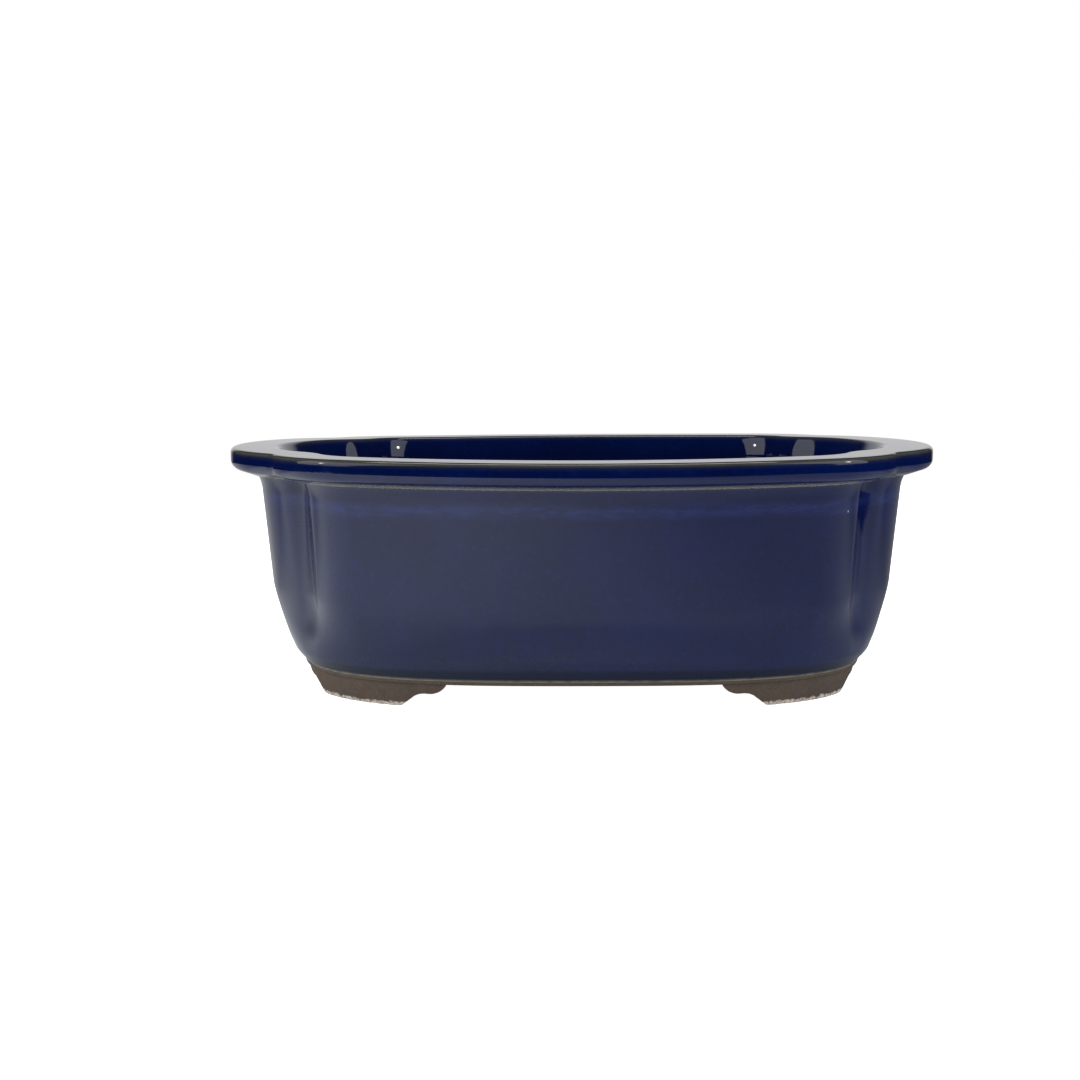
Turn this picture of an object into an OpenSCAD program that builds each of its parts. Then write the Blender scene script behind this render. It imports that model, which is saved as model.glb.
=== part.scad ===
// Glazed stoneware bonsai pot: lobed oval body, flat outward rim and four cloud-cut feet.
// Millimetres, +Z up, long side along X, front towards -Y.
// The origin is on the plane the feet stand on, under the middle of the pot.

/* [Pot] */
// Length over the rim, glaze included
rim_length = 302; // [290:1:330]
// Width over the rim, glaze included
rim_width = 237; // [228:1:250]
// Height from the standing plane to the top of the rim
pot_height = 99; // [90:1:120]
// Thickness of the glaze coat
glaze_t = 0.5; // [0.4:0.1:0.8]

/* [Rim] */
// How far the rim stands out past the top of the wall
rim_overhang = 13; // [8:1:14]
// Height of the rim at its outer face
rim_thickness = 8.4; // [7:0.2:10]
// Rounding of the rim's top edges
rim_edge_r = 1.6; // [1:0.2:2.4]

/* [Wall] */
// Thickness of the clay wall at the top
wall_t = 6.6; // [5:0.2:8]
// How far the wall draws in from its top to the base
base_inset = 19; // [16:0.5:21]
// How far the upper wall leans out, in millimetres per millimetre of height
wall_lean = 0.085; // [0.05:0.005:0.12]
// Height at which the upright wall gives way to the bowl that curves in to the base
bowl_top = 42; // [36:1:50]

/* [Lobes] */
// Radius of the shoulder at each end of a long lobe
long_shoulder_r = 36; // [32:1:40]
// Radius of the shoulder at each end of a short lobe
short_shoulder_r = 52; // [48:1:58]
// Radius of the hollow between two lobes
notch_r = 26; // [22:1:30]
// How much deeper the hollow between two lobes gets towards the rim
groove_depth = 3.5; // [0:0.5:4]
// Squareness of the base outline, where the lobes have faded out
base_squareness = 3; // [2.6:0.1:3.2]

/* [Base] */
// Height of the feet
foot_h = 9.8; // [8:0.2:13]
// Height of the bare clay between the feet and the glaze line
bare_h = 1.8; // [1:0.2:3]
// Thickness of the floor slab
floor_t = 8; // [6:0.5:10]
// Radius of the two drain holes
drain_r = 11; // [8:0.5:14]
// Distance from the middle of the pot to each drain hole
drain_x = 48; // [40:1:60]
// Radius of the four tie-wire holes
wire_r = 2.5; // [2:0.25:3.5]
// Distance from the middle of the pot to each tie-wire hole, along the pot
wire_x = 26; // [20:1:32]
// Distance from the middle of the pot to each tie-wire hole, across the pot
wire_y = 38; // [32:1:44]
// Where each foot starts on a long side, measured from the middle of the pot
foot_inner_x = 53; // [45:1:60]
// Where each foot starts on a short side, measured from the middle of the pot
foot_inner_y = 39; // [34:1:44]
// Width of each foot from its outer face inwards
foot_w = 19; // [14:1:24]

/* [Hidden] */
$fn = 64;
clay = "#6b5d50";
cobalt = "#141f66";

// ---- Lobed outline of the wall's outer face at its top, one quarter from the front to the end ----

half_l = rim_length / 2 - rim_overhang;
half_w = rim_width / 2 - rim_overhang;
// Headings, in degrees from +X, at which one arc hands over to the next
long_end = 19;
notch_start = 67;
notch_end = 40;
short_start = 68;

function arc_move(r, from, to) = r * [sin(to) - sin(from), cos(from) - cos(to)];

// The long and short arcs take up what the shoulders and the hollow leave of the quarter
corner = arc_move(long_shoulder_r, long_end, notch_start)
       + arc_move(-notch_r, notch_start, notch_end)
       + arc_move(short_shoulder_r, notch_end, short_start);
rest = [half_l, half_w] - corner;
long_unit = arc_move(1, 0, long_end);
short_unit = arc_move(1, short_start, 90);
det = cross(long_unit, short_unit);
long_r = cross(rest, short_unit) / det;
short_r = cross(long_unit, rest) / det;

// Each arc: radius (negative where it is hollow), first heading, last heading, steps
arcs = [
    [long_r, 0, long_end, 5],
    [long_shoulder_r, long_end, notch_start, 6],
    [-notch_r, notch_start, notch_end, 4],
    [short_shoulder_r, notch_end, short_start, 4],
    [short_r, short_start, 90, 4],
];

function arc_start(k) = k == 0 ? [0, -half_w]
    : arc_start(k - 1) + arc_move(arcs[k - 1][0], arcs[k - 1][1], arcs[k - 1][2]);

// A station is a point of the outline and its outward normal
function station(start, r, from, heading) =
    [start + arc_move(r, from, heading), [sin(heading), -cos(heading)]];

quarter = [
    for (k = [0 : len(arcs) - 1])
        let (a = arcs[k], start = arc_start(k))
        for (i = [0 : a[3] - 1])
            station(start, a[0], a[1], a[1] + (a[2] - a[1]) * i / a[3]),
    [[half_l, 0], [1, 0]]
];

// ---- Smooth outline of the bowl: superellipses reached along the same ray ----

// The bowl is squarest at its base
bowl_squareness = 2.5;
function squareness(z) = base_squareness + (bowl_squareness - base_squareness) * lobe_share(z);
function ray_length(d, k) = pow(pow(abs(d.x) / half_l, k) + pow(abs(d.y) / half_w, k), -1 / k);
function unit(v) = v / norm(v);
function steep(v, half, k) = sign(v) * pow(abs(v) / half, k - 1) / half;
function smooth_station(p, k) = let (d = unit(p), q = d * ray_length(d, k))
    [q, unit([steep(q.x, half_l, k), steep(q.y, half_w, k)])];

function mirrored(s, mx, my) = [for (v = s) [v.x * mx, v.y * my]];
function backwards(list) = [for (i = [len(list) - 1 : -1 : 0]) list[i]];
last = len(quarter) - 1;

// All stations, anticlockwise from the middle of the front
lobed = [
    for (i = [0 : last - 1]) quarter[i],
    for (i = [last : -1 : 1]) mirrored(quarter[i], 1, -1),
    for (i = [0 : last - 1]) mirrored(quarter[i], -1, -1),
    for (i = [last : -1 : 1]) mirrored(quarter[i], -1, 1)
];
count = len(lobed);

// The lobes fade in between fade_low and bowl_top
fade_low = foot_h + 4;
function share(z, from, to) = min(1, max(0, (z - from) / (to - from)));
function lobe_share(z) = let (t = share(z, fade_low, bowl_top)) t * t * (3 - 2 * t);

// ---- Heights of the rim ----

rim_low = pot_height - rim_thickness;
rim_fall = 2.2;
rim_seat = rim_low - rim_fall;

// The hollow's extra depth on the outside of the wall, deepest where the wall meets the rim
notch_middle = arc_start(2) + arc_move(arcs[2][0], notch_start, (notch_start + notch_end) / 2);
groove_w = 8;
function near_notch(p) = exp(-pow(norm([abs(p.x), -abs(p.y)] - notch_middle) / groove_w, 2));
function dent(p, out, z) = out < -wall_t || z > rim_seat + glaze_t ? 0
    : groove_depth * near_notch(p) * share(z, bowl_top, rim_seat);

// Point of the pot at station i, an offset out from the outline and a height
function at(i, out, z) = let (
        w = lobe_share(z),
        face = out - dent(lobed[i][0], out, z),
        smooth = smooth_station(lobed[i][0], squareness(z))
    ) concat(w * (lobed[i][0] + face * lobed[i][1]) + (1 - w) * (smooth[0] + face * smooth[1]), [z]);

// ---- Section of the pot as [offset, height] points ----

band_top = foot_h + 3.2;
glaze_line = foot_h + bare_h;
floor_top = foot_h + floor_t;
skin_out = rim_overhang - glaze_t;
top = pot_height - glaze_t;
inside = -wall_t - glaze_t;
// Depth of the glaze inside the pot, below the rim
glaze_depth = 27;
inner_glaze_line = pot_height - glaze_depth;

// The wall leans out evenly, curves in below bowl_top and flares under the rim
flare_low = rim_seat - 6;
flare = 1.6;
band_inset = base_inset - 0.5;
bowl = band_inset - wall_lean * (flare_low - band_top);
bowl_power = 1.7;
function wall_out(z) = wall_lean * (z - flare_low)
    - bowl * pow(share(z, bowl_top, band_top), bowl_power)
    + flare * pow(share(z, flare_low, rim_seat), 2);
// The inner face follows the outer one, a little higher up where the wall curves in
inner_lift = 5;
function wall_in(z) = min(inside, wall_out(max(band_top, z - inner_lift)) - wall_t);
inner_seat = wall_in(floor_top) - 2;

// Steps from one height to another that crowd towards the start
function heights(from, to, steps) = [for (i = [0 : steps]) from + (to - from) * pow(i / steps, 1.5)];
function outside(list) = [for (z = list) [wall_out(z), z]];
function inner_face(list) = [for (z = backwards(list)) [wall_in(z), z]];

// Clay of the outside, upwards: the bowl, then the wall
bowl_outside = outside(heights(band_top, bowl_top, 5));
wall_middle = (bowl_top + flare_low) / 2;
wall_outside = outside([bowl_top, wall_middle, flare_low, rim_seat - flare, rim_seat]);

// Clay of the rim from the wall's outside round to its inside
function corner_arc(cx, cz, r, from, to, steps) =
    [for (i = [0 : steps]) let (a = from + (to - from) * i / steps) [cx + r * cos(a), cz + r * sin(a)]];
under_r = 3.2;
under_start = -78;
inner_r = 2 * rim_edge_r;
rim_face = concat(
    corner_arc(skin_out - under_r, rim_low + under_r, under_r, under_start, 0, 4),
    corner_arc(skin_out - rim_edge_r, top - rim_edge_r, rim_edge_r, 15, 90, 2),
    corner_arc(inside + inner_r, top - inner_r, inner_r, 90, 180, 3)
);

// Clay of the inside, downwards: the wall, then the bowl to the floor
inner_middle = (bowl_top + inner_glaze_line) / 2;
wall_inside = concat([[inside, rim_seat]], inner_face([bowl_top, inner_middle, inner_glaze_line]));
inner_foot = floor_top + 3;
bowl_inside = concat(inner_face(heights(inner_foot, bowl_top, 4)), [[inner_seat, floor_top]]);

// Surface of the glaze over a run of clay, moved out along its own normals
function run_normal(p, i) = let (
        a = unit(p[min(i + 1, len(p) - 1)] - p[i] + [1e-9, 0]),
        b = unit(p[i] - p[max(i - 1, 0)] + [1e-9, 0]),
        s = i == 0 ? a : i == len(p) - 1 ? b : unit(a + b)
    ) [s.y, -s.x];
function coat(p, t) = [for (i = [0 : len(p) - 1]) p[i] + t * run_normal(p, i)];

// ---- Solids ----

// Closed ring whose section is a loop of [offset, height] points, listed anticlockwise
module ring(section) {
    m = len(section);
    points = [for (i = [0 : count - 1]) for (s = section) at(i, s.x, s.y)];
    faces = [for (i = [0 : count - 1]) for (j = [0 : m - 1])
        let (i2 = (i + 1) % count, j2 = (j + 1) % m)
        each [[i * m + j, i * m + j2, i2 * m + j2], [i * m + j, i2 * m + j2, i2 * m + j]]];
    polyhedron(points = points, faces = faces);
}

module wall() {
    color(clay) ring(concat(wall_outside, wall_inside));
}

module bowl() {
    color(clay) ring(concat(bowl_outside, bowl_inside, [[inner_seat, band_top]]));
}

module rim() {
    color(clay) ring(concat([wall_outside[len(wall_outside) - 1]], rim_face, [wall_inside[0]]));
}

module base_band() {
    chamfer = 0.8;
    color(clay) ring([
        [-base_inset - chamfer, foot_h],
        [-base_inset, foot_h + chamfer],
        [-base_inset, glaze_line],
        bowl_outside[0],
        [inner_seat, band_top],
        [inner_seat, foot_h],
    ]);
}

// Bore through the floor, one millimetre longer than the slab at both ends
module hole(x, y, r) {
    translate([x, y, foot_h - 1]) cylinder(r = r, h = floor_t + 2);
}

module floor() {
    slab = [for (i = [0 : count - 1]) let (p = at(i, inner_seat, foot_h)) [p.x, p.y]];
    color(clay) difference() {
        translate([0, 0, foot_h]) linear_extrude(floor_t) polygon(slab);
        for (sx = [-1, 1]) {
            hole(sx * drain_x, 0, drain_r);
            for (sy = [-1, 1]) hole(sx * wire_x, sy * wire_y, wire_r);
        }
    }
}

// Cloud-cut end of a foot: a round lobe, a shelf, a hollow and a slope to the ground
cloud_steps = 5;
lobe_r = 7.5;
lobe_start = 25;
lobe_in = lobe_r * cos(lobe_start);
shelf_z = foot_h - lobe_r * (1 - sin(lobe_start));
hollow_r = 7;
hollow_at = 9.2;
hollow_end = 45;
cloud_run = 18.5;
function cloud_cut(start, far) = concat(
    [[far, 0], [far, foot_h + 1], [start, foot_h + 1]],
    corner_arc(start + lobe_in, shelf_z + lobe_r, lobe_r, 180 + lobe_start, 270, cloud_steps),
    corner_arc(start + hollow_at, shelf_z - hollow_r, hollow_r, 90, hollow_end, cloud_steps),
    [[start + cloud_run, 0]]
);

// One foot, under the right-hand end of the front lobe
foot_set_in = 3;
foot_step = 1.4;
foot_outer = -base_inset - foot_set_in;
foot_middle = -base_inset - (foot_set_in + foot_step) / 2;
foot_inner = foot_outer - foot_w;
module foot() {
    section = [
        [foot_outer, 0],
        [foot_middle, foot_h / 3],
        [-base_inset - foot_step, foot_h],
        [foot_inner, foot_h],
        [foot_inner, 0],
    ];
    m = len(section);
    points = [for (i = [0 : last]) for (s = section) at(i, s.x, s.y)];
    faces = concat(
        [for (i = [0 : last - 1]) for (j = [0 : m - 1]) let (j2 = (j + 1) % m)
            each [[i * m + j, i * m + j2, (i + 1) * m + j2], [i * m + j, (i + 1) * m + j2, (i + 1) * m + j]]],
        [[for (j = [m - 1 : -1 : 0]) j], [for (j = [0 : m - 1]) last * m + j]]
    );
    intersection() {
        polyhedron(points = points, faces = faces);
        rotate([90, 0, 0]) linear_extrude(rim_width) polygon(cloud_cut(foot_inner_x, rim_length));
        rotate([90, 0, -90]) translate([0, 0, -rim_length]) linear_extrude(rim_length)
            polygon(cloud_cut(foot_inner_y, rim_width));
    }
}

module foot_front_right() {
    color(clay) foot();
}

module foot_front_left() {
    color(clay) mirror([1, 0, 0]) foot();
}

module foot_back_right() {
    color(clay) mirror([0, 1, 0]) foot();
}

module foot_back_left() {
    color(clay) mirror([1, 0, 0]) mirror([0, 1, 0]) foot();
}

// The glaze coat: from the glaze line up the outside, over the rim and a little way down the inside
module glaze() {
    coated = concat(
        [[-base_inset, glaze_line]],
        [for (i = [0 : len(bowl_outside) - 2]) bowl_outside[i]],
        wall_outside,
        rim_face,
        [wall_inside[0], wall_inside[1]]
    );
    color(cobalt) ring(concat(coat(coated, glaze_t), backwards(coated)));
}

wall();
bowl();
floor();
rim();
base_band();
foot_front_left();
foot_front_right();
foot_back_left();
foot_back_right();
glaze();
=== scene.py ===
import math

import bmesh
import bpy
import numpy as np
from mathutils import Matrix, Vector


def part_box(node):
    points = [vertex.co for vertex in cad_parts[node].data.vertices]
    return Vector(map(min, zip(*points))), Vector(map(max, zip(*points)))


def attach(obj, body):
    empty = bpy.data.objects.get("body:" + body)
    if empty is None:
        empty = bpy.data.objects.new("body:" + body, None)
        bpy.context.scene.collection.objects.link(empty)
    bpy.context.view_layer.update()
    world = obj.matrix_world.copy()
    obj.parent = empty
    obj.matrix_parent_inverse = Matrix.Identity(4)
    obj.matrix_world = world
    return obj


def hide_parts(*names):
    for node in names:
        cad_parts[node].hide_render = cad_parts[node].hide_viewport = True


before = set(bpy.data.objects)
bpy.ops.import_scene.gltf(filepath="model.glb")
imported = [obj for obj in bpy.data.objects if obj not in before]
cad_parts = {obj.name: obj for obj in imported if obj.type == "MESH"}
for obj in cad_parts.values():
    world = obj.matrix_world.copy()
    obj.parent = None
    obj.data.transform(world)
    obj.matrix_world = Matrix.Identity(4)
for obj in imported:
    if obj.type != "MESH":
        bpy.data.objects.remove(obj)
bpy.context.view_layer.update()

MM = 0.001

# ---------------------------------------------------------------- sizes, in millimetres, from the frame


def node_box(name):
    """Lowest and highest corner of a CAD node, in millimetres."""
    low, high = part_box(name)
    return np.array(low) / MM, np.array(high) / MM


GLAZE_LOW, GLAZE_HIGH = node_box("glaze")
BAND_LOW, BAND_HIGH = node_box("base_band")
RIM_LOW, RIM_HIGH = node_box("rim")

POT_HEIGHT = GLAZE_HIGH[2]
FOOT_H = BAND_LOW[2]
BAND_TOP = BAND_HIGH[2]
GLAZE_LINE = GLAZE_LOW[2]
FLOOR_TOP = node_box("floor")[1][2]
GLAZE_T = GLAZE_HIGH[0] - RIM_HIGH[0]
RIM_SEAT = RIM_LOW[2]

# The same design values as the CAD source
RIM_OVERHANG = 13.0
RIM_THICKNESS = 8.4
RIM_EDGE_R = 1.6
RIM_UNDER_R = 3.2
WALL_T = 6.6
BASE_INSET = 19.0
WALL_LEAN = 0.085
BOWL_TOP = 42.0
BOWL_POWER = 1.7
FLARE = 1.6
FLARE_LOW = RIM_SEAT - 6.0
GLAZE_DEPTH = 27.0
INNER_LIFT = 5.0
LONG_SHOULDER_R = 36.0
SHORT_SHOULDER_R = 52.0
NOTCH_R = 26.0
LONG_END, NOTCH_START, NOTCH_END, SHORT_START = 19.0, 67.0, 40.0, 68.0
SQUARENESS = 3.0
BOWL_SQUARENESS = 2.5
FADE_LOW = FOOT_H + 4.0
DRAIN_R, DRAIN_X = 11.0, 48.0
WIRE_R, WIRE_X, WIRE_Y = 2.5, 26.0, 38.0
FOOT_INNER_X, FOOT_INNER_Y, FOOT_W = 53.0, 39.0, 19.0
GROOVE_DEPTH, GROOVE_W = 3.5, 8.0
RIDGE, RIDGE_Z = 0.35, BAND_TOP + 3.6
FOOT_SET_IN, FOOT_STEP = 3.0, 1.4
LOBE_R, LOBE_START = 7.5, 25.0
HOLLOW_R, HOLLOW_AT, HOLLOW_END = 7.0, 9.2, 45.0
CLOUD_RUN = 18.5

# What only the visual has: soft shoulder and bead, rolled glaze, sag, unevenness, worn edges
SHOULDER_R, SHOULDER_TILT, EDGE_IN_R = 24.0, 24.0, 1.8
SWELL_LOW, SWELL_HIGH = 50.0, 88.0
BEAD_OUT, BEAD_DROP = 4.2, 0.35
ROLL, GLAZE_LEAST = 1.2, 0.02
# Reach of the glaze's paler lower edge, which also carries a painted highlight
LINE_AND_HIGHLIGHT_REACH = 0.8
# Where the glaze pools above its lower edge, which also carries a painted reflection of the shade under
# the pot
POOL_AND_SHADE_AT, POOL_AND_SHADE_REACH = 3.4, 3.4
RIM_SAG, SAG_START = 1.5, 45.0
CORNER_SAG, SAG_X, SAG_Y, SAG_REACH = 0.7, -95.0, 85.0, 60.0
WAVE = 0.16
FLOOR_EDGE_R = 0.8
FOOT_EDGE_R, FACE_CURVE, SLANT_LIMIT = 0.9, 1.6, 0.55

# How finely the visual is built: spacing round the outline, and points of floor and feet
STATION_STEP = 0.9
FLOOR_EVERY, HOLE_SIDES = 4, 64
FACE_ROWS, SOLE_ROWS, CORNER_ROWS = 9, 10, 40
EDGE_TURNS = np.radians([22, 45, 68, 90])

HALF_L = GLAZE_HIGH[0] - RIM_OVERHANG
HALF_W = GLAZE_HIGH[1] - RIM_OVERHANG

# ---------------------------------------------------------------- outline


def arc_move(r, start, end):
    """How far an arc of radius r travels while its heading turns from start to end, in degrees."""
    a, b = math.radians(start), math.radians(end)
    return r * np.array([math.sin(b) - math.sin(a), math.cos(a) - math.cos(b)])


def outline_arcs():
    """The arcs of one quarter of the lobed outline: radius, first heading, last heading."""
    shoulders = (
        arc_move(LONG_SHOULDER_R, LONG_END, NOTCH_START)
        + arc_move(-NOTCH_R, NOTCH_START, NOTCH_END)
        + arc_move(SHORT_SHOULDER_R, NOTCH_END, SHORT_START)
    )
    units = np.column_stack([arc_move(1, 0, LONG_END), arc_move(1, SHORT_START, 90)])
    long_r, short_r = np.linalg.solve(units, np.array([HALF_L, HALF_W]) - shoulders)
    return [
        (long_r, 0, LONG_END),
        (LONG_SHOULDER_R, LONG_END, NOTCH_START),
        (-NOTCH_R, NOTCH_START, NOTCH_END),
        (SHORT_SHOULDER_R, NOTCH_END, SHORT_START),
        (short_r, SHORT_START, 90),
    ]


def quarter_outline(spacing):
    """Points and outward normals of one quarter, from the middle of the front to the end."""
    rows = []
    start = np.array([0.0, -HALF_W])
    for r, h0, h1 in outline_arcs():
        steps = max(3, round(abs(r * math.radians(h1 - h0)) / spacing))
        for i in range(steps):
            h = h0 + (h1 - h0) * i / steps
            p = start + arc_move(r, h0, h)
            a = math.radians(h)
            rows.append((p[0], p[1], math.sin(a), -math.cos(a)))
        start = start + arc_move(r, h0, h1)
    rows.append((HALF_L, 0.0, 1.0, 0.0))
    return np.array(rows)


def full_outline(spacing):
    """The whole outline, anticlockwise from the middle of the front, with outward normals."""
    q = quarter_outline(spacing)
    n = len(q) - 1

    def mirrored(rows, mx, my):
        return rows * np.array([mx, my, mx, my])

    return np.vstack(
        [q[:n], mirrored(q[n:0:-1], 1, -1), mirrored(q[:n], -1, -1), mirrored(q[n:0:-1], -1, 1)]
    )


def lobe_share(z):
    """How much of the lobed outline, rather than the smooth one, shows at height z."""
    t = np.clip((z - FADE_LOW) / (BOWL_TOP - FADE_LOW), 0, 1)
    return t * t * (3 - 2 * t)


def smooth_outline(points, z):
    """Superellipses reached along the same rays, squarest at the base, with outward normals."""
    d = points / np.linalg.norm(points, axis=1)[:, None]
    k = (SQUARENESS + (BOWL_SQUARENESS - SQUARENESS) * lobe_share(z))[:, None]
    half = np.array([HALF_L, HALF_W])
    reach = np.sum(np.abs(d / half) ** k, axis=1, keepdims=True) ** (-1 / k)
    q = d * reach
    n = np.sign(q) * np.abs(q / half) ** (k - 1) / half
    return q, n / np.linalg.norm(n, axis=1)[:, None]


LOBED = full_outline(STATION_STEP)
COUNT = len(LOBED)
THETA = np.arctan2(LOBED[:, 1], LOBED[:, 0])
SMOOTH_P, SMOOTH_N = smooth_outline(LOBED[:, :2], np.full(COUNT, FOOT_H))

# ---------------------------------------------------------------- hand-made unevenness


def unevenness(theta, z):
    """Inward shift of the whole body, so that it is nowhere quite true."""
    wave = (
        np.sin(2 * theta + 0.6 + z / 61)
        + 0.8 * np.sin(3 * theta - 1.1 + z / 37)
        + 0.6 * np.sin(5 * theta + 2.3 - z / 29)
        + 0.35 * np.sin(9 * theta + 0.4 + z / 21)
        + 0.25 * np.sin(14 * theta + 1.9 - z / 16)
    ) / 3.0
    return -WAVE * (1 + wave)


def sag(p):
    """The long sides of the rim dip a little, and one back corner more."""
    rise = np.clip((p[:, 2] - SAG_START) / (POT_HEIGHT - SAG_START), 0, 1) ** 1.5
    middle = (1 - np.clip(np.abs(p[:, 0]) / (HALF_L + RIM_OVERHANG), 0, 1) ** 2) ** 1.2
    away_x, away_y = (p[:, 0] - SAG_X) / SAG_REACH, (p[:, 1] - SAG_Y) / SAG_REACH
    corner = np.exp(-(away_x**2 + away_y**2))
    p[:, 2] -= rise * (RIM_SAG * middle + CORNER_SAG * corner)
    return p


def notch_middle():
    """The deepest point of the hollow between the front and the right lobe."""
    arcs = outline_arcs()
    middle = (NOTCH_START + NOTCH_END) / 2
    start = np.array([0.0, -HALF_W]) + arc_move(*arcs[0]) + arc_move(*arcs[1])
    return start + arc_move(-NOTCH_R, NOTCH_START, middle)


NOTCH = notch_middle()


def dent(i, out, z):
    """The hollow's extra depth on the outside of the wall, deepest where it meets the rim."""
    away = np.linalg.norm(np.abs(LOBED[i, :2]) - np.abs(NOTCH), axis=1)
    rise = np.clip((z - BOWL_TOP) / (RIM_SEAT - BOWL_TOP), 0, 1)
    on_wall = np.clip((BEAD_OUT - out) / 2, 0, 1) * (out > -WALL_T) * (z < RIM_SEAT + 3)
    return GROOVE_DEPTH * np.exp(-((away / GROOVE_W) ** 2)) * rise * on_wall


def at(i, out, z):
    """Points of the pot: station numbers, offsets out from the outline, heights."""
    w = lobe_share(z)[:, None]
    out = (out - dent(i, out, z) + unevenness(THETA[i], z))[:, None]
    lobed = LOBED[i, :2] + out * LOBED[i, 2:]
    point, normal = smooth_outline(LOBED[i, :2], z)
    smooth = point + out * normal
    return sag(np.column_stack([w * lobed + (1 - w) * smooth, z]))


# ---------------------------------------------------------------- section


def wall_out(z):
    """Offset of the wall's outer clay face at height z."""
    z = np.asarray(z, float)
    bowl = BASE_INSET - 0.5 - WALL_LEAN * (FLARE_LOW - BAND_TOP)
    low = np.clip((BOWL_TOP - z) / (BOWL_TOP - BAND_TOP), 0, 1)
    lip = np.clip((z - FLARE_LOW) / (RIM_SEAT - FLARE_LOW), 0, 1)
    ridge = RIDGE * np.exp(-(((z - RIDGE_Z) / 1.6) ** 2))
    return WALL_LEAN * (z - FLARE_LOW) - bowl * low**BOWL_POWER + FLARE * lip**2 + ridge


INSIDE = -WALL_T - GLAZE_T
SKIN_OUT = RIM_OVERHANG - GLAZE_T
CLAY_TOP = POT_HEIGHT - GLAZE_T
RIM_BOTTOM = POT_HEIGHT - RIM_THICKNESS
INNER_LINE = POT_HEIGHT - GLAZE_DEPTH


def wall_in(z):
    """Offset of the inner clay face, which thickens towards the soft shoulder under the rim."""
    z = np.asarray(z, float)
    swell = SHOULDER_R * (1 - math.cos(math.radians(SHOULDER_TILT)))
    t = np.clip((z - SWELL_LOW) / (SWELL_HIGH - SWELL_LOW), 0, 1)
    face = np.minimum(INSIDE, wall_out(np.maximum(BAND_TOP, z - INNER_LIFT)) - WALL_T)
    return face - swell * t * t * (3 - 2 * t)


INNER_SEAT = float(wall_in(FLOOR_TOP)) - 2


def corner_arc(cx, cz, r, start, end, steps):
    """Points of an arc round (cx, cz), from start to end in degrees."""
    a = np.radians(np.linspace(start, end, steps + 1))
    return np.column_stack([cx + r * np.cos(a), cz + r * np.sin(a)])


def along(points, spacing):
    """The same path with a point every spacing or so."""
    points = np.asarray(points, float)
    rows = [points[:1]]
    for a, b in zip(points[:-1], points[1:]):
        steps = max(1, round(float(np.linalg.norm(b - a)) / spacing))
        t = np.linspace(0, 1, steps + 1)[1:, None]
        rows.append(a + (b - a) * t)
    return np.vstack(rows)


def outside_path(low, high, steps):
    """The outer clay face as [offset, height] points, upwards."""
    z = np.linspace(low, high, steps + 1)
    return np.column_stack([wall_out(z), z])


def under_path():
    """Fillet above the wall, the fine recess beside it and the bead that edges the rim's underside."""
    bead_z = RIM_SEAT + BEAD_DROP
    return np.array(
        [
            [FLARE + 0.3, RIM_SEAT + 0.45],
            [FLARE + 0.95, RIM_SEAT + 0.9],
            [BEAD_OUT - 0.8, bead_z + 0.6],
            [BEAD_OUT - 0.4, bead_z + 0.12],
            [BEAD_OUT, bead_z],
            [BEAD_OUT + 0.6, bead_z + 0.12],
        ]
    )


def rim_path():
    """The rim's clay from its underside round to the shoulder inside the pot."""
    edge = corner_arc(INSIDE + EDGE_IN_R, CLAY_TOP - EDGE_IN_R, EDGE_IN_R, 90, 180 - SHOULDER_TILT, 8)
    tilt = math.radians(SHOULDER_TILT)
    middle = edge[-1] + SHOULDER_R * np.array([math.cos(tilt), -math.sin(tilt)])
    shoulder = corner_arc(*middle, SHOULDER_R, 180 - SHOULDER_TILT, 180, 16)
    return np.vstack(
        [
            corner_arc(SKIN_OUT - RIM_UNDER_R, RIM_BOTTOM + RIM_UNDER_R, RIM_UNDER_R, -78, 0, 14),
            corner_arc(SKIN_OUT - RIM_EDGE_R, CLAY_TOP - RIM_EDGE_R, RIM_EDGE_R, 5, 90, 8),
            edge,
            shoulder[1:],
        ]
    )


def inside_path(high, low, steps):
    """The inner clay face as [offset, height] points, downwards."""
    z = np.linspace(high, low, steps + 1)
    return np.column_stack([wall_in(z), z])


def path_normals(path):
    """Unit normals of a path, to the right of the way it runs."""
    d = np.gradient(path, axis=0)
    n = np.column_stack([d[:, 1], -d[:, 0]])
    return n / np.linalg.norm(n, axis=1)[:, None]


# ---------------------------------------------------------------- meshes


def finish_mesh(name, verts, faces, smooth=True, values=None):
    """Object from points in millimetres. values are per-point numbers for its material."""
    mesh = bpy.data.meshes.new(name)
    mesh.from_pydata((np.asarray(verts) * MM).tolist(), [], faces)
    for key, v in (values or {}).items():
        layer = mesh.attributes.new(key, "FLOAT", "POINT")
        layer.data.foreach_set("value", np.asarray(v, np.float32))
    mesh.validate()
    mesh.polygons.foreach_set("use_smooth", [smooth] * len(mesh.polygons))
    obj = bpy.data.objects.new(name, mesh)
    bpy.context.scene.collection.objects.link(obj)
    return obj


def grid_faces(rings, across, closed_ring, closed_across):
    """Quads of a grid stored ring by ring."""
    i = np.arange(rings if closed_ring else rings - 1)[:, None]
    j = np.arange(across if closed_across else across - 1)[None, :]
    i2, j2 = (i + 1) % rings, (j + 1) % across
    quads = np.stack([i * across + j, i2 * across + j, i2 * across + j2, i * across + j2], axis=-1)
    return quads.reshape(-1, 4).tolist()


def ring(name, section, values=None):
    """Closed ring whose section is a loop of [offset, height] points."""
    m = len(section)
    i = np.repeat(np.arange(COUNT), m)
    s = np.tile(section, (COUNT, 1))
    verts = at(i, s[:, 0], s[:, 1])
    spread = {k: np.tile(v, COUNT) for k, v in (values or {}).items()}
    obj = finish_mesh(name, verts, grid_faces(COUNT, m, True, True), values=spread)
    obj.data.set_sharp_from_angle(angle=math.radians(45))
    return obj


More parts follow.
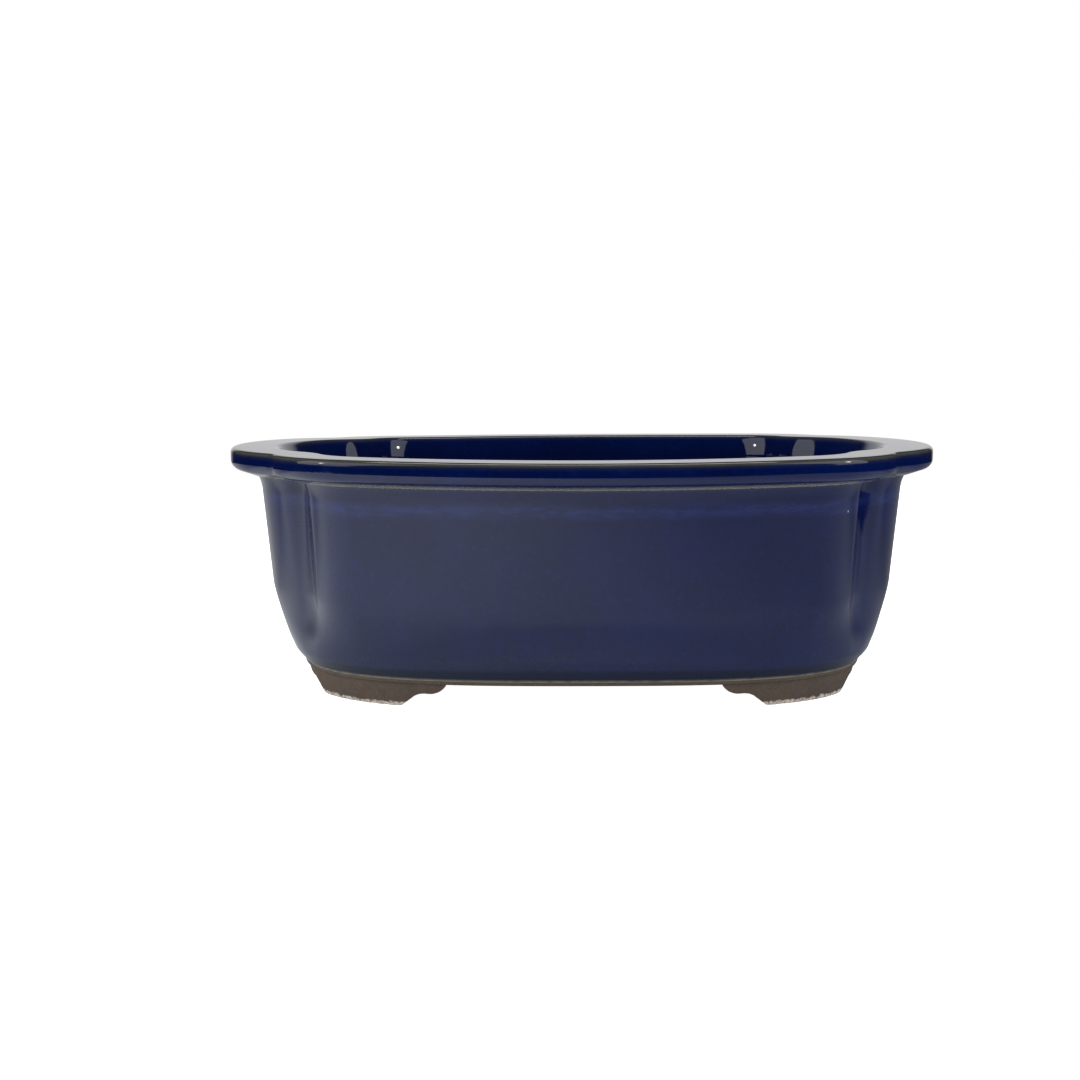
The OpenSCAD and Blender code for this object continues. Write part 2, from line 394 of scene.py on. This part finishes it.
def weld(mesh, distance, outward=False):
    """Join the points that are closer than distance, in metres, and turn the faces outward if asked."""
    bm = bmesh.new()
    bm.from_mesh(mesh)
    bmesh.ops.remove_doubles(bm, verts=bm.verts, dist=distance)
    if outward:
        bmesh.ops.recalc_face_normals(bm, faces=bm.faces)
    bm.to_mesh(mesh)
    bm.free()


def glaze_coat():
    """The coat, a rounded roll at both of its edges, with what its material needs to know."""
    start = np.array([[-BASE_INSET, GLAZE_LINE], [-BASE_INSET + 0.1, (GLAZE_LINE + BAND_TOP) / 2]])
    wall = along(np.vstack([start, outside_path(BAND_TOP, RIM_SEAT, 70)]), 1.0)
    rim = rim_path()
    inner = inside_path(rim[-1][1] - 1, INNER_LINE, 16)
    clay = np.vstack([wall, along(under_path(), 0.3), along(np.vstack([rim, inner]), 1.0)])
    run = np.concatenate([[0], np.cumsum(np.linalg.norm(np.diff(clay, axis=0), axis=1))])

    def roll(s):
        return np.sqrt(np.clip(1 - (1 - np.clip(s / ROLL, 0, 1)) ** 2, 0, 1))

    thick = np.maximum(GLAZE_T * roll(run) * roll(run[-1] - run), GLAZE_LEAST)
    skin = clay + path_normals(clay) * thick[:, None]

    def close_to(x, z, reach_x, reach_z):
        return np.exp(-(((skin[:, 0] - x) / reach_x) ** 2 + ((skin[:, 1] - z) / reach_z) ** 2))

    # Where the glaze thins on edges, on the bead and at its end, and where it pools; bead and end also
    # carry a painted highlight, the pool a painted reflection of shade
    top_edge = close_to(SKIN_OUT - 0.1, POT_HEIGHT - 0.7, 0.9, 0.9)
    # On the bead the glaze thins, and its colour is made paler as a painted highlight under the shaded
    # rim
    bead_thin_and_lit_share = close_to(BEAD_OUT + 0.3, RIM_SEAT + BEAD_DROP - GLAZE_T, 1.1, 0.5)
    inner_edge = close_to(INSIDE + 1.1, POT_HEIGHT - 1.0, 1.2, 1.1)
    values = {
        "edge": np.clip(top_edge + 0.8 * inner_edge, 0, 1),
        "bead_and_highlight": bead_thin_and_lit_share,
        # The glaze thins at its lower end, with a painted highlight there as well
        "line": np.exp(-((run / LINE_AND_HIGHLIGHT_REACH) ** 2)),
        # Glaze pooling and painted reflection of the shade under the pot, just above the glaze line
        "pool_and_shade": np.exp(-(((run - POOL_AND_SHADE_AT) / POOL_AND_SHADE_REACH) ** 2)),
    }
    values = {k: np.concatenate([v, v[::-1]]) for k, v in values.items()}
    return ring("glaze_coat", np.vstack([skin, clay[::-1]]), values)


def clay_wall():
    """The lobed upper part of the side wall."""
    outer = outside_path(BOWL_TOP, RIM_SEAT, 24)
    return ring("clay_wall", np.vstack([outer, inside_path(RIM_SEAT, BOWL_TOP, 24)]))


def clay_bowl():
    """The lower part of the side wall, which meets the floor with a fillet."""
    inner = inside_path(BOWL_TOP, FLOOR_TOP + 3, 20)
    low = [[INNER_SEAT + 0.9, FLOOR_TOP + 0.9], [INNER_SEAT, FLOOR_TOP], [INNER_SEAT, BAND_TOP]]
    return ring("clay_bowl", np.vstack([outside_path(BAND_TOP, BOWL_TOP, 20), inner, low]))


def clay_rim():
    """The rim, on top of the wall."""
    seat = [[float(wall_out(RIM_SEAT)), RIM_SEAT]]
    rim = rim_path()
    rim = rim[rim[:, 1] > RIM_SEAT + 0.5]
    last = [[float(wall_in(RIM_SEAT)), RIM_SEAT]]
    return ring("clay_rim", np.vstack([seat, under_path(), rim, last]))


def clay_band():
    """The bare ring under the bowl, with a worn lower edge."""
    section = np.array(
        [
            [-BASE_INSET - 0.9, FOOT_H],
            [-BASE_INSET - 0.35, FOOT_H + 0.15],
            [-BASE_INSET - 0.05, FOOT_H + 0.6],
            [-BASE_INSET, GLAZE_LINE],
            [-BASE_INSET + 0.5, BAND_TOP],
            [INNER_SEAT, BAND_TOP],
            [INNER_SEAT, FOOT_H],
        ]
    )
    return ring("clay_band", along(section, 1.5)[:-1])


def clay_floor():
    """The slab with its holes, from a filled flat curve with rounded edges."""
    curve = bpy.data.curves.new("clay_floor", "CURVE")
    curve.dimensions = "2D"
    curve.fill_mode = "BOTH"
    curve.extrude = (FLOOR_TOP - FOOT_H - 2 * FLOOR_EDGE_R) / 2 * MM
    curve.bevel_depth = FLOOR_EDGE_R * MM
    curve.bevel_resolution = 3
    curve.offset = -FLOOR_EDGE_R * MM

    def loop(points):
        spline = curve.splines.new("POLY")
        spline.points.add(len(points) - 1)
        for k, (x, y) in enumerate(points):
            spline.points[k].co = (x * MM, y * MM, 0, 1)
        spline.use_cyclic_u = True

    i = np.arange(0, COUNT, FLOOR_EVERY)
    edge = at(i, np.full(len(i), INNER_SEAT), np.full(len(i), FOOT_H))
    loop(edge[:, :2])

    def hole(x, y, r):
        a = np.linspace(0, 2 * math.pi, HOLE_SIDES, endpoint=False)
        loop(np.column_stack([x + r * np.cos(a), y - r * np.sin(a)]))

    for sx in (-1, 1):
        hole(sx * DRAIN_X, 0, DRAIN_R)
        for sy in (-1, 1):
            hole(sx * WIRE_X, sy * WIRE_Y, WIRE_R)
    maker = bpy.data.objects.new("clay_floor", curve)
    bpy.context.scene.collection.objects.link(maker)
    depsgraph = bpy.context.evaluated_depsgraph_get()
    mesh = bpy.data.meshes.new_from_object(maker.evaluated_get(depsgraph))
    bpy.data.objects.remove(maker)
    obj = bpy.data.objects.new("clay_floor", mesh)
    bpy.context.scene.collection.objects.link(obj)
    for v in mesh.vertices:
        v.co.z += (FOOT_H + FLOOR_TOP) / 2 * MM
    weld(mesh, 1e-6)
    mesh.polygons.foreach_set("use_smooth", [True] * len(mesh.polygons))
    mesh.set_sharp_from_angle(angle=math.radians(40))
    return obj


# ---------------------------------------------------------------- feet


def cloud_curve():
    """Underside of a foot's cloud-cut end: distance from its start against height."""
    start = math.radians(LOBE_START)
    shelf = FOOT_H - LOBE_R * (1 - math.sin(start))
    pts = np.vstack(
        [
            corner_arc(LOBE_R * math.cos(start), shelf + LOBE_R, LOBE_R, 180 + LOBE_START, 270, 10),
            corner_arc(HOLLOW_AT, shelf - HOLLOW_R, HOLLOW_R, 90, HOLLOW_END, 8),
            [[CLOUD_RUN - 0.9, 0.75], [CLOUD_RUN - 0.35, 0.25], [CLOUD_RUN + 0.5, 0.0]],
        ]
    )
    return along(pts, 0.7)


def outline_at(i):
    """Point and normal of the base outline at fractional station i."""
    lo = int(math.floor(i)) % COUNT
    hi = (lo + 1) % COUNT
    t = i - math.floor(i)
    p = SMOOTH_P[lo] * (1 - t) + SMOOTH_P[hi] * t
    n = SMOOTH_N[lo] * (1 - t) + SMOOTH_N[hi] * t
    return p, n / np.linalg.norm(n)


def station_where(coordinate, value):
    """Station of the front right quarter whose foot-edge point has this x or -y."""
    stations = np.arange(COUNT // 4 + 1)
    edge = SMOOTH_P[stations] - (BASE_INSET + FOOT_SET_IN) * SMOOTH_N[stations]
    track = edge[:, 0] if coordinate == "x" else -edge[:, 1]
    order = np.argsort(track)
    return float(np.interp(value, track[order], stations[order]))


def foot_stations():
    """Stations along one foot: place on the outline, height of the underside, share of the turn."""
    cloud = cloud_curve()
    front = [(station_where("x", FOOT_INNER_X + d), h, 0.0) for d, h in cloud]
    side = [(station_where("y", FOOT_INNER_Y + d), h, 1.0) for d, h in cloud[::-1]]
    first, last = front[-1][0], side[0][0]
    shares = np.linspace(0, 1, CORNER_ROWS)[1:-1]
    corner = [(first + (last - first) * t, 0.0, t) for t in shares]
    return front + corner + side


def foot_section(i, low, turn):
    """Loop of points at one station: outer face, worn edge, sole, inner edge, inner top."""
    p, n = outline_at(i)
    inward = np.array([-math.sin(turn * math.pi / 2), math.cos(turn * math.pi / 2)])
    # Measured aslant of the outline, the foot is wider
    width = FOOT_W / max(SLANT_LIMIT, float(-inward @ n))
    top = p - (BASE_INSET + FOOT_STEP) * n
    bottom = p - (BASE_INSET + FOOT_SET_IN) * n
    wear = 0.35 * math.sin(i * 0.9) + 0.25 * math.sin(i * 2.3 + 1) + 0.2 * math.sin(i * 5.1)
    r = min(FOOT_EDGE_R, (FOOT_H - low) * 0.45) * (1 + 0.35 * wear)
    loop = []
    for t in np.linspace(0, 1, FACE_ROWS):
        z = FOOT_H + (low + r - FOOT_H) * t
        down = (FOOT_H - z) / FOOT_H
        q = top + (bottom - top) * (1 - (1 - down) ** FACE_CURVE)
        loop.append([q[0], q[1], z])
    base = q

    def add(depth, z):
        x, y = base + inward * depth
        loop.append([x, y, z])

    for a in EDGE_TURNS:
        add(r * (1 - math.cos(a)), low + r * (1 - math.sin(a)))
    for t in np.linspace(0, 1, SOLE_ROWS)[1:]:
        add(r + (width - 2 * r) * t, low)
    for a in EDGE_TURNS:
        add(width - r + r * math.sin(a), low + r * (1 - math.cos(a)))
    add(width, FOOT_H)
    return loop


def foot(name, mx, my):
    """One foot, built at the front right and mirrored into its own corner."""
    sections = np.array([foot_section(*station) for station in foot_stations()])
    count, across = sections.shape[:2]
    verts = sections.reshape(-1, 3) * np.array([mx, my, 1])
    last = (count - 1) * across
    ends = [list(range(across))[::-1], [last + j for j in range(across)]]
    obj = finish_mesh(name, verts, grid_faces(count, across, False, True) + ends)
    weld(obj.data, 2e-6, outward=True)
    obj.data.set_sharp_from_angle(angle=math.radians(50))
    return obj


# ---------------------------------------------------------------- materials


class Nodes:
    """Short calls for building a node tree."""

    def __init__(self, tree, coords="Object"):
        self.tree = tree
        self.coords = tree.nodes.new("ShaderNodeTexCoord").outputs[coords]

    def node(self, kind, settings=None, **inputs):
        """New node with these settings, and with inputs given by name."""
        n = self.tree.nodes.new(kind)
        for k, v in (settings or {}).items():
            setattr(n, k, v)
        for k, v in inputs.items():
            self.put(n.inputs[k.replace("_", " ")], v)
        return n

    def put(self, socket, value):
        """Link the value if it is a socket, or set it."""
        if isinstance(value, bpy.types.NodeSocket):
            self.tree.links.new(value, socket)
        else:
            socket.default_value = value

    def math(self, operation, a, b=0.0):
        """Sum, product or other operation on two numbers."""
        n = self.node("ShaderNodeMath", {"operation": operation})
        self.put(n.inputs[0], a)
        self.put(n.inputs[1], b)
        return n.outputs[0]

    def remap(self, value, low, high, out_low=0.0, out_high=1.0):
        """Smooth step from out_low at low to out_high at high."""
        n = self.node("ShaderNodeMapRange", {"interpolation_type": "SMOOTHSTEP"})
        for k, v in zip(range(5), (value, low, high, out_low, out_high)):
            self.put(n.inputs[k], v)
        return n.outputs[0]

    def noise(self, scale, detail=3.0, rough=0.55, stretch=None):
        """Cloudy noise, finer with scale."""
        vector = self.coords
        if stretch:
            m = self.node("ShaderNodeMapping", Vector=vector)
            m.inputs["Scale"].default_value = stretch
            vector = m.outputs[0]
        n = self.node("ShaderNodeTexNoise", Vector=vector, Scale=scale, Detail=detail, Roughness=rough)
        return n.outputs[0]

    def spots(self, scale, size):
        """Sparse small round spots, 1 inside and 0 outside."""
        n = self.node("ShaderNodeTexVoronoi", Vector=self.coords, Scale=scale)
        near = self.remap(n.outputs["Distance"], size, size * 0.5)
        pick = self.node("ShaderNodeSeparateColor", Color=n.outputs["Color"]).outputs[0]
        return self.math("MULTIPLY", near, self.math("GREATER_THAN", pick, 0.9))

    def value(self, name):
        """The mesh's own number of this name."""
        return self.node("ShaderNodeAttribute", {"attribute_name": name}).outputs["Fac"]

    def height(self):
        """Height above the surface that the pot stands on, in metres."""
        return self.node("ShaderNodeSeparateXYZ", Vector=self.coords).outputs["Z"]

    def mix(self, factor, a, b):
        """Mix of two colours."""
        n = self.node("ShaderNodeMix", {"data_type": "RGBA"})
        self.put(n.inputs["Factor"], factor)
        for socket, v in ((n.inputs[6], a), (n.inputs[7], b)):
            self.put(socket, v if isinstance(v, bpy.types.NodeSocket) else (*v, 1.0))
        return n.outputs[2]

    def blend(self, factor, a, b):
        """Mix of two numbers."""
        n = self.node("ShaderNodeMix", {"data_type": "FLOAT"})
        for socket, v in ((n.inputs["Factor"], factor), (n.inputs[2], a), (n.inputs[3], b)):
            self.put(socket, v)
        return n.outputs[0]

    def bump(self, height, distance, strength=1.0, normal=None):
        """Normal that follows a height, laid over another normal if one is given."""
        n = self.node("ShaderNodeBump", Height=height, Distance=distance, Strength=strength)
        if normal:
            self.put(n.inputs["Normal"], normal)
        return n.outputs[0]

    def surface(self, **inputs):
        """Principled shader with these inputs, wired to the material's output."""
        shader = self.node("ShaderNodeBsdfPrincipled")
        for k, v in inputs.items():
            self.put(shader.inputs[k.replace("_", " ")], v)
        out = self.tree.nodes.new("ShaderNodeOutputMaterial")
        self.tree.links.new(shader.outputs[0], out.inputs["Surface"])


def new_material(name):
    """An empty node material, and the calls that fill it."""
    material = bpy.data.materials.new(name)
    material.use_nodes = True
    material.node_tree.nodes.clear()
    return material, Nodes(material.node_tree)


# Heights between which a mark fades in or out, and how far its edge wanders, in metres
BELT_FOOT, BELT_HEAD, BELT_WANDER = (0.0762, 0.0812), (0.0848, 0.0806), 0.003
CRUST, CRUST_WANDER = (0.0018, 0.0013), 0.0035
# Heights of the painted shade along the crease above the feet
CREASE_SHADE_FOOT, CREASE_SHADE_HEAD = (0.0092, 0.0098), (0.0104, 0.0099)

# The floor's glow as gloss sees it: two places in metres and, for some, the share at each
GLOW = 0.36
GLOW_BY_Y = (-0.06, 0.12, 0.92, 0.3)
GLOW_BY_X = (-0.22, 0.25, 1.15, 0.42)
GLOW_FRONT_END, GLOW_RIGHT_END = (-0.64, -0.58), (0.64, 0.58)
# Half sizes of the pot's painted shadow, in which the glow dims
POT_SHADOW_HALF_X, POT_SHADOW_HALF_Y = 0.12, 0.087


def glaze_material():
    """Clouded cobalt that breaks to olive over edges and to buff with a painted highlight on the bead
    and at the glaze line, and darkens where it pools, with a painted reflection of shade there.
    """
    material, n = new_material("cobalt_glaze")
    cobalt = (0.0004, 0.0048, 0.047)
    bright = (0.002, 0.012, 0.095)
    deep = (0.0003, 0.0036, 0.035)
    belt_blue = (0.016, 0.03, 0.15)
    pooled_and_shade = (0.001, 0.005, 0.015)
    olive = (0.055, 0.055, 0.036)
    buff_and_highlight = (0.3, 0.3, 0.22)
    line_buff = (0.21, 0.2, 0.14)
    speck_grey = (0.3, 0.31, 0.34)
    cloudy = n.remap(n.noise(26, 4), 0.35, 0.7)
    colour = n.mix(cloudy, deep, cobalt)
    mottle = n.remap(n.noise(420, 4, 0.6), 0.52, 0.74, 0.0, 0.3)
    colour = n.mix(mottle, colour, bright)
    # A paler, mottled belt where the second dip of glaze ended, under the rim
    z = n.math("ADD", n.height(), n.math("MULTIPLY", n.noise(18, 3), BELT_WANDER))
    belt = n.math("MULTIPLY", n.remap(z, *BELT_FOOT), n.remap(z, *BELT_HEAD))
    patch = n.remap(n.noise(300, 5, 0.7, (0.35, 0.35, 1.2)), 0.38, 0.66, 0.15, 0.5)
    colour = n.mix(n.math("MULTIPLY", belt, patch), colour, belt_blue)
    # Dark where the glaze pools, with painted reflection of shade; thin and pale on edges, on the bead
    # and at the glaze line, with painted highlight on bead and line
    # Painted reflection of the shade under the pot, along with the pooled glaze
    colour = n.mix(n.math("MULTIPLY", n.value("pool_and_shade"), 0.85), colour, pooled_and_shade)
    ragged = n.remap(n.noise(90, 3), 0.3, 0.6, 0.8, 1.0)
    colour = n.mix(n.math("MULTIPLY", n.value("edge"), ragged), colour, olive)
    # Painted highlight on the bead, paler than the clay, over the thinned glaze
    colour = n.mix(n.value("bead_and_highlight"), colour, buff_and_highlight)
    # Painted highlight along the glaze line, over the glaze's thinning there
    broken = n.remap(n.noise(240, 2), 0.25, 0.6, 0.5, 1.0)
    colour = n.mix(n.math("MULTIPLY", n.value("line"), broken), colour, line_buff)
    colour = n.mix(n.spots(70, 0.045), colour, speck_grey)
    rough = n.remap(n.noise(120, 3), 0.3, 0.75, 0.035, 0.09)
    soft = n.bump(n.noise(55, 2), 0.0004, 0.25)
    normal = n.bump(n.noise(700, 2), 0.00003, 0.35, soft)
    n.surface(Base_Color=colour, Roughness=rough, Normal=normal, IOR=1.45)
    return material


def clay_material():
    """Grainy bare stoneware with painted shade along the crease above the feet and a whitish crust
    below them.
    """
    material, n = new_material("bare_stoneware")
    body = (0.078, 0.054, 0.038)
    grey = (0.061, 0.044, 0.034)
    pale = (0.125, 0.095, 0.073)
    dark = (0.035, 0.027, 0.022)
    crust_white = (0.5, 0.46, 0.41)
    painted_crease_shade = (0.03, 0.023, 0.018)
    colour = n.mix(n.remap(n.noise(60, 4), 0.35, 0.68), body, grey)
    grain = n.noise(1500, 3, 0.7)
    colour = n.mix(n.remap(grain, 0.56, 0.72, 0.0, 0.7), colour, pale)
    colour = n.mix(n.remap(grain, 0.42, 0.3, 0.0, 0.7), colour, dark)
    z = n.height()
    wander = n.math("MULTIPLY", n.math("SUBTRACT", n.noise(330, 4, 0.7), 0.5), CRUST_WANDER)
    crust = n.remap(n.math("ADD", z, wander), *CRUST)
    crumbs = n.remap(n.noise(1100, 3, 0.7), 0.4, 0.56, 0.3, 1)
    colour = n.mix(n.math("MULTIPLY", crust, crumbs), colour, crust_white)
    # Painted shade: a dark line in the crease where the feet meet the band
    crease_shade = n.math("MULTIPLY", n.remap(z, *CREASE_SHADE_FOOT), n.remap(z, *CREASE_SHADE_HEAD, 0.0, 0.6))
    colour = n.mix(crease_shade, colour, painted_crease_shade)
    rough = n.remap(n.noise(300, 3), 0.3, 0.7, 0.68, 0.9)
    coarse = n.bump(n.noise(380, 3, 0.6), 0.00025, 0.6)
    normal = n.bump(grain, 0.00012, 0.8, coarse)
    n.surface(Base_Color=colour, Roughness=rough, Normal=normal)
    return material


def floor_material():
    """Plain pale floor to the eye. Gloss sees a glow on it, brightest in front and to the left, with a
    painted shadow of the pot round its footprint.
    """
    material, n = new_material("pale_floor")
    place = n.node("ShaderNodeSeparateXYZ", Vector=n.coords).outputs
    x, y = place["X"], place["Y"]
    reach = [
        n.math("POWER", n.math("MULTIPLY", n.math("ABSOLUTE", v), 1 / half), 3)
        for v, half in ((x, POT_SHADOW_HALF_X), (y, POT_SHADOW_HALF_Y))
    ]
    share = n.remap(y, *GLOW_BY_Y)
    for part in (
        n.remap(x, *GLOW_BY_X),
        # Painted shadow of the pot: the glow dims round its footprint
        n.remap(n.math("ADD", *reach), 1.0, 1.5, 0.45, 1.0),
        n.remap(y, *GLOW_FRONT_END),
        n.remap(x, *GLOW_RIGHT_END),
    ):
        share = n.math("MULTIPLY", share, part)
    ray = n.node("ShaderNodeLightPath").outputs
    glossy = ray["Is Glossy Ray"]
    plain = n.math("ADD", 0.45, n.math("MULTIPLY", ray["Is Camera Ray"], 0.55))
    plain = n.math("MULTIPLY", n.math("SUBTRACT", 1.0, glossy), plain)
    glow = n.math("MULTIPLY", n.math("MULTIPLY", share, GLOW), glossy)
    colour = n.mix(n.noise(3, 2), (0.84, 0.84, 0.84), (0.87, 0.87, 0.87))
    dim = n.math("MULTIPLY", glossy, n.math("SUBTRACT", 1.0, share))
    colour = n.mix(dim, colour, (0.0, 0.0, 0.0))
    tint = n.mix(glossy, (1, 1, 1), (0.9, 1.0, 1.0))
    strength = n.math("ADD", plain, glow)
    n.surface(Base_Color=colour, Roughness=0.9, Emission_Color=tint, Emission_Strength=strength)
    return material


# ---------------------------------------------------------------- pieces

CLAY = clay_material()
GLAZE = glaze_material()


def place(piece, node, slot, material):
    """Give the piece its material, hang it from the root body and hide the CAD node that it stands for.
    """
    piece.data.materials.clear()
    piece.data.materials.append(material)
    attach(piece, "root")
    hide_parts(node)


place(glaze_coat(), "glaze", "glaze", GLAZE)
place(clay_wall(), "wall", "clay", CLAY)
place(clay_bowl(), "bowl", "clay", CLAY)
place(clay_rim(), "rim", "clay", CLAY)
place(clay_band(), "base_band", "clay", CLAY)
place(clay_floor(), "floor", "clay", CLAY)
for side, my in (("front", 1), ("back", -1)):
    for hand, mx in (("right", 1), ("left", -1)):
        name = f"foot_{side}_{hand}"
        place(foot("clay_" + name, mx, my), name, "clay", CLAY)

# ---------------------------------------------------------------- stage, light and camera

TABLE_R, TABLE_SIDES = 1.0, 96
SOFT_LIGHT = 0.55

# The surround as gloss sees it: two directions, and the brightness at each
BACKDROP_BY_Y = (0.86, 0.94, 0.02, 0.7)
BACKDROP_BY_Z = (-0.12, 0.0, 0.12, 1.0)

# Place in metres, turns in degrees, lens and sensor in millimetres
CAMERA_AT = (-0.0131, -0.5546, 0.1275)
CAMERA_LEFT, CAMERA_DOWN, CAMERA_ROLL = 0.46, 7.41, -0.18
LENS, SENSOR = 41.69, 36


def stage_floor():
    """Round pale floor under the pot."""
    turns = np.linspace(0, 2 * math.pi, TABLE_SIDES, endpoint=False)
    verts = [(0, 0, 0)] + [(TABLE_R * math.cos(a), TABLE_R * math.sin(a), 0) for a in turns]
    faces = [(0, k, k % TABLE_SIDES + 1) for k in range(1, TABLE_SIDES + 1)]
    floor = finish_mesh("stage_floor", np.array(verts) / MM, faces, smooth=False)
    floor.data.materials.append(floor_material())


def softbox(name, location, size, energy, shape="RECTANGLE"):
    """Area light that faces the pot."""
    light = bpy.data.lights.new(name, "AREA")
    light.shape = shape
    light.size, light.size_y = size
    light.energy = energy
    aim = Vector((0, 0, POT_HEIGHT / 2 * MM)) - Vector(location)
    obj = bpy.data.objects.new(name, light)
    obj.location = location
    obj.rotation_euler = aim.to_track_quat("-Z", "Y").to_euler()
    bpy.context.scene.collection.objects.link(obj)


def studio():
    """White all round for sight and soft light; gloss sees a white backdrop and a dark room."""
    world = bpy.data.worlds.new("studio")
    bpy.context.scene.world = world
    world.use_nodes = True
    background = world.node_tree.nodes["Background"]
    n = Nodes(world.node_tree, "Generated")
    direction = n.node("ShaderNodeSeparateXYZ", Vector=n.coords).outputs
    ray = n.node("ShaderNodeLightPath").outputs
    behind = n.remap(direction["Y"], *BACKDROP_BY_Y)
    backdrop = n.math("MULTIPLY", behind, n.remap(direction["Z"], *BACKDROP_BY_Z))
    soft = n.blend(ray["Is Glossy Ray"], SOFT_LIGHT, backdrop)
    n.put(background.inputs["Color"], (1, 1, 1, 1))
    n.put(background.inputs["Strength"], n.blend(ray["Is Camera Ray"], soft, 1.0))

    softbox("top", (0.0, 0.15, 1.3), size=(1.1, 0.18), energy=6)
    for side, width, power in ((-1, 1.35, 10), (1, 0.95, 7)):
        softbox("umbrella", (side * 1.3, -0.58, 0.74), size=(width, 1.3), energy=power)
        softbox("bulb", (side * 1.2, -0.56, 0.72), size=(0.14, 0.14), energy=2, shape="ELLIPSE")


def camera():
    """The photograph's viewpoint, as fitted to the outlines of rim, wall and feet."""
    data = bpy.data.cameras.new("camera")
    data.lens = LENS
    data.sensor_width = SENSOR
    obj = bpy.data.objects.new("camera", data)
    obj.matrix_world = (
        Matrix.Translation(CAMERA_AT)
        @ Matrix.Rotation(math.radians(CAMERA_LEFT), 4, "Z")
        @ Matrix.Rotation(math.radians(90 - CAMERA_DOWN), 4, "X")
        @ Matrix.Rotation(math.radians(CAMERA_ROLL), 4, "Z")
    )
    bpy.context.scene.collection.objects.link(obj)
    bpy.context.scene.camera = obj


bpy.context.scene.view_settings.view_transform = "Standard"
stage_floor()
studio()
camera()
